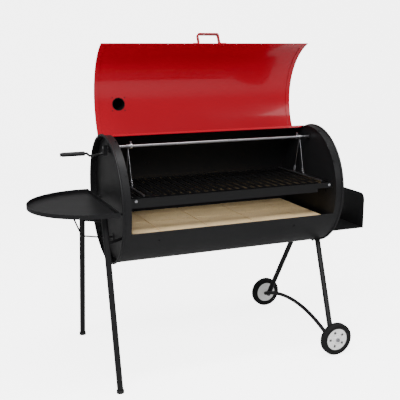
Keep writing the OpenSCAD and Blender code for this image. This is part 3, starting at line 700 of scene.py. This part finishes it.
class GRILL_OT_handle(bpy.types.Operator):
    """Bends the lid's strap handle and ribs the crank's grip"""

    bl_idname = "grill.handle"
    bl_label = "Make Handles"

    def execute(self, context):
        settings = context.scene.grill_pieces
        self.make_strap(settings.strap_width, settings.strap_thickness)
        self.make_grip()
        return {"FINISHED"}

    def make_strap(self, width, thickness):
        """A flat strap with rounded bends, standing on the lid."""
        middle, angle = lid_frame()
        outward = Vector((0, math.cos(angle), math.sin(angle)))
        along = Vector((0, -math.sin(angle), math.cos(angle)))
        low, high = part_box("lid_handle")
        cad = frame["nodes"]["lid_handle"].data.vertices
        reach = [(v.co - middle).dot(outward) for v in cad]
        foot, top = min(reach) + thickness / 2, max(reach) - thickness / 2
        if top <= foot:
            raise RuntimeError("the handle has no height")
        across = sorted((v.co - middle).dot(along) for v in cad)
        centre_line = middle + along * (across[0] + across[-1]) / 2
        uprights = [v.co.x for v, r in zip(cad, reach) if r > top - thickness]
        bar = (max(uprights) - min(uprights) - thickness) / 2
        outline = [(low.x, foot), (middle.x - bar, foot), (middle.x - bar, top)]
        outline += [(middle.x + bar, top), (middle.x + bar, foot), (high.x, foot)]
        points = [Vector((x, centre_line.y, centre_line.z)) + outward * r for x, r in outline]
        w, t = width / 2, thickness / 2
        bend_radius = 0.008
        strap = bmesh.new()
        sweep(strap, rounded_path(points, bend_radius), [(t, w), (-t, w), (-t, -w), (t, -w)], up=along)
        piece = add_piece("lid_strap_handle", strap, "lid", "red_enamel", ["lid_handle"])
        bevel(piece, width=0.0008)

    def make_grip(self):
        """A turned grip with finger ribs and a bore for its rod."""
        low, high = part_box("crank_grip")
        origin = (low + high) / 2
        half, radius = (high.x - low.x) / 2, (high.z - low.z) / 2
        bore, ribs, points_per_rib = 0.0052, 14, 4
        face, shoulder = radius * 0.8, (radius * 0.94, half * 0.96)
        ribbed_half, rib_swing = half * 0.9, 0.03
        outline = [(bore, -half), (face, -half), (shoulder[0], -shoulder[1])]
        for k in range(ribs * points_per_rib + 1):
            place = ribbed_half * (2 * k / (ribs * points_per_rib) - 1)
            swing = rib_swing * math.cos(2 * math.pi * k / points_per_rib)
            outline.append((radius * (1 - rib_swing + swing), place))
        outline += [shoulder, (face, half), (bore, half)]
        grip = bmesh.new()
        lathe(grip, origin, Vector((1, 0, 0)), outline, 48)
        add_piece("crank_ribbed_grip", grip, "grip", "grip_plastic", ["crank_grip"], 40)


class GRILL_OT_edges(bpy.types.Operator):
    """Adds the rolled lips of the mouth and the lid, and the welds of the stand"""

    bl_idname = "grill.edges"
    bl_label = "Make Edges and Welds"

    def execute(self, context):
        self.roll_lips()
        for side, sign in (("front", -1), ("rear", 1)):
            self.weld_leg(side, sign)
        return {"FINISHED"}

    def roll_lips(self):
        """Round lips along the mouth's front edge and the open lid's upper edge."""
        x, _, z = barrel_axis()
        radius = barrel_radius()
        strip_low, strip_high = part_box("rear_strip")
        strip_overrun, mouth_lip = 0.016, 0.0026
        half = (strip_high.x - strip_low.x) / 2 - strip_overrun
        across, up = radius * math.cos(MOUTH_FRONT_ANGLE), radius * math.sin(MOUTH_FRONT_ANGLE)
        self.roll_lip("mouth_rolled_lip", "barrel", "black_powder", Vector((x, -across, z + up)), half, mouth_lip)
        band_low, band_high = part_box("lid_front_band")
        sheet_low, sheet_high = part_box("lid_sheet")
        end_band, lid_lip, inset_y, inset_z = 0.0215, 0.0018, 0.0006, 0.0012
        half = (band_high.x - band_low.x) / 2 + end_band
        middle, _ = lid_frame()
        edge = Vector((middle.x, sheet_low.y + inset_y, sheet_high.z - inset_z))
        self.roll_lip("lid_rolled_lip", "lid", "red_enamel", edge, half, lid_lip)

    def roll_lip(self, name, body, slot, middle, half, radius):
        """A round lip along X."""
        steps = 24
        stations = [middle.x + half * (2 * k / steps - 1) for k in range(steps + 1)]
        points = [Vector((x, middle.y, middle.z)) for x in stations]
        lip = bmesh.new()
        sweep(lip, points, circle_section(radius, 10), up=Vector((0, 0, 1)))
        add_piece(name, lip, body, slot)

    def weld_leg(self, side, sign):
        """A rippled bead where a wheeled leg meets its saddle."""
        low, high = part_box(f"{side}_right_leg")
        _, _, axis_z = barrel_axis()
        saddle_thickness, leg_middle_in, bead_size, ripple = 0.0035, 0.011, 0.0022, 0.0005
        saddle_radius = barrel_radius() + saddle_thickness
        steps, ripple_steps = 96, 4
        middle_x = high.x - LEG_RADIUS
        middle_y = sign * (min(abs(low.y), abs(high.y)) + leg_middle_in)
        points = []
        for k in range(steps):
            turn = 2 * math.pi * k / steps
            y = middle_y + LEG_RADIUS * math.sin(turn)
            down = math.sqrt(saddle_radius ** 2 - y ** 2)
            points.append(Vector((middle_x + LEG_RADIUS * math.cos(turn), y, axis_z - down)))

        def size_at(step):
            return bead_size + ripple * math.cos(2 * math.pi * step / ripple_steps)

        bead = bmesh.new()
        sweep(bead, points, circle_section(1, 8), up=Vector((0, 0, 1)), closed_path=True, size_at=size_at)
        add_piece(f"{side}_leg_weld", bead, "barrel", "black_powder", sharp=60)


class GRILL_OT_stage(bpy.types.Operator):
    """Sets the floor, the backdrop, the lights and the camera"""

    bl_idname = "grill.stage"
    bl_label = "Set Stage"

    def execute(self, context):
        self.make_floor()
        target = Vector((0, 0, (CAD_LOW.z + CAD_HIGH.z) / 2))
        for name, place, size, power in (
            ("key_softbox", (-1.6, -2.6, 3.4), (2.6, 1.0), 150),
            ("fill_softbox", (2.8, -2.2, 2.0), (2.0, 1.2), 22),
            ("top_strip", (0.0, -0.4, 3.6), (3.2, 0.5), 80),
        ):
            self.add_light(name, Vector(place), target, size, power)
        self.make_world(context.scene)
        self.set_camera(context.scene.grill_stage, context.scene)
        return {"FINISHED"}

    def make_floor(self):
        """A pale floor that curves up into a backdrop."""
        studio_paper()
        near, far, bend, height, wide, bend_steps = -7.0, 5.0, 2.0, 7.0, 9.0, 16
        outline = [(near, 0.0), (far, 0.0)]
        for k in range(1, bend_steps + 1):
            turn = math.pi / 2 * k / bend_steps
            outline.append((far + bend * math.sin(turn), bend * (1 - math.cos(turn))))
        outline.append((far + bend, height))
        paper = bmesh.new()
        rows = [[paper.verts.new((x, y, z)) for y, z in outline] for x in (-wide, wide)]
        for k in range(len(outline) - 1):
            paper.faces.new((rows[0][k], rows[1][k], rows[1][k + 1], rows[0][k + 1]))
        mesh = bpy.data.meshes.new("studio_floor")
        paper.to_mesh(mesh)
        paper.free()
        mesh.shade_smooth()
        mesh.materials.append(bpy.data.materials["studio_paper"])
        floor = bpy.data.objects.new("studio_floor", mesh)
        bpy.context.scene.collection.objects.link(floor)

    def make_world(self, scene):
        """White studio light that reflections see as a dimmer room."""
        room_light, reflected_light = 0.70, 0.22
        world = bpy.data.worlds.new("studio")
        world.use_nodes = True
        tree = world.node_tree
        path = tree.nodes.new("ShaderNodeLightPath")
        strength = map_range(tree, path.outputs["Is Glossy Ray"], (0, 1), (room_light, reflected_light))
        background = tree.nodes["Background"]
        background.inputs["Color"].default_value = (1, 1, 1, 1)
        tree.links.new(strength, background.inputs["Strength"])
        scene.world = world

    def add_light(self, name, place, target, size, power):
        """A rectangular softbox that faces a target."""
        lamp = bpy.data.lights.new(name, "AREA")
        lamp.shape = "RECTANGLE"
        lamp.size, lamp.size_y = size
        lamp.energy = power
        holder = bpy.data.objects.new(name, lamp)
        holder.location = place
        holder.rotation_euler = (target - place).to_track_quat("-Z", "Y").to_euler()
        bpy.context.scene.collection.objects.link(holder)

    def set_camera(self, settings, scene):
        """Places the camera that frames the whole grill."""
        lens = bpy.data.cameras.new("camera")
        lens.sensor_width = 36
        lens.lens = settings.lens
        lens.shift_x, lens.shift_y = settings.shift
        camera = bpy.data.objects.new("camera", lens)
        camera.location = settings.camera_place
        camera.rotation_euler = (math.pi / 2 - settings.camera_pitch, 0, -settings.camera_yaw)
        scene.collection.objects.link(camera)
        scene.camera = camera


class GRILL_PT_panel(bpy.types.Panel):
    """Settings and steps of the grill"""

    bl_idname = "GRILL_PT_panel"
    bl_label = "Barrel Grill"
    bl_space_type = "VIEW_3D"
    bl_region_type = "UI"
    bl_category = "Grill"

    def draw(self, context):
        for group in (context.scene.grill_finish, context.scene.grill_pieces, context.scene.grill_stage):
            box = self.layout.box()
            for name in group.__annotations__:
                box.prop(group, name)
        for step in STEPS:
            self.layout.operator(step.bl_idname)


STEPS = (
    GRILL_OT_finishes,
    GRILL_OT_firebricks,
    GRILL_OT_wheels,
    GRILL_OT_cables,
    GRILL_OT_handle,
    GRILL_OT_edges,
    GRILL_OT_stage,
)
CLASSES = (GrillFinish, GrillPieces, GrillStage, *STEPS, GRILL_PT_panel)


def register():
    """Registers the classes and the scene's settings."""
    for item in CLASSES:
        bpy.utils.register_class(item)
    bpy.types.Scene.grill_finish = bpy.props.PointerProperty(type=GrillFinish)
    bpy.types.Scene.grill_pieces = bpy.props.PointerProperty(type=GrillPieces)
    bpy.types.Scene.grill_stage = bpy.props.PointerProperty(type=GrillStage)


def unregister():
    """Removes the scene's settings and the classes."""
    del bpy.types.Scene.grill_stage
    del bpy.types.Scene.grill_pieces
    del bpy.types.Scene.grill_finish
    for item in reversed(CLASSES):
        bpy.utils.unregister_class(item)


def main():
    """Builds every piece in order."""
    register()
    bpy.ops.grill.finishes()
    bpy.ops.grill.firebricks()
    bpy.ops.grill.wheels()
    bpy.ops.grill.cables()
    bpy.ops.grill.handle()
    bpy.ops.grill.edges()
    bpy.ops.grill.stage()


if __name__ == "__main__":
    main()
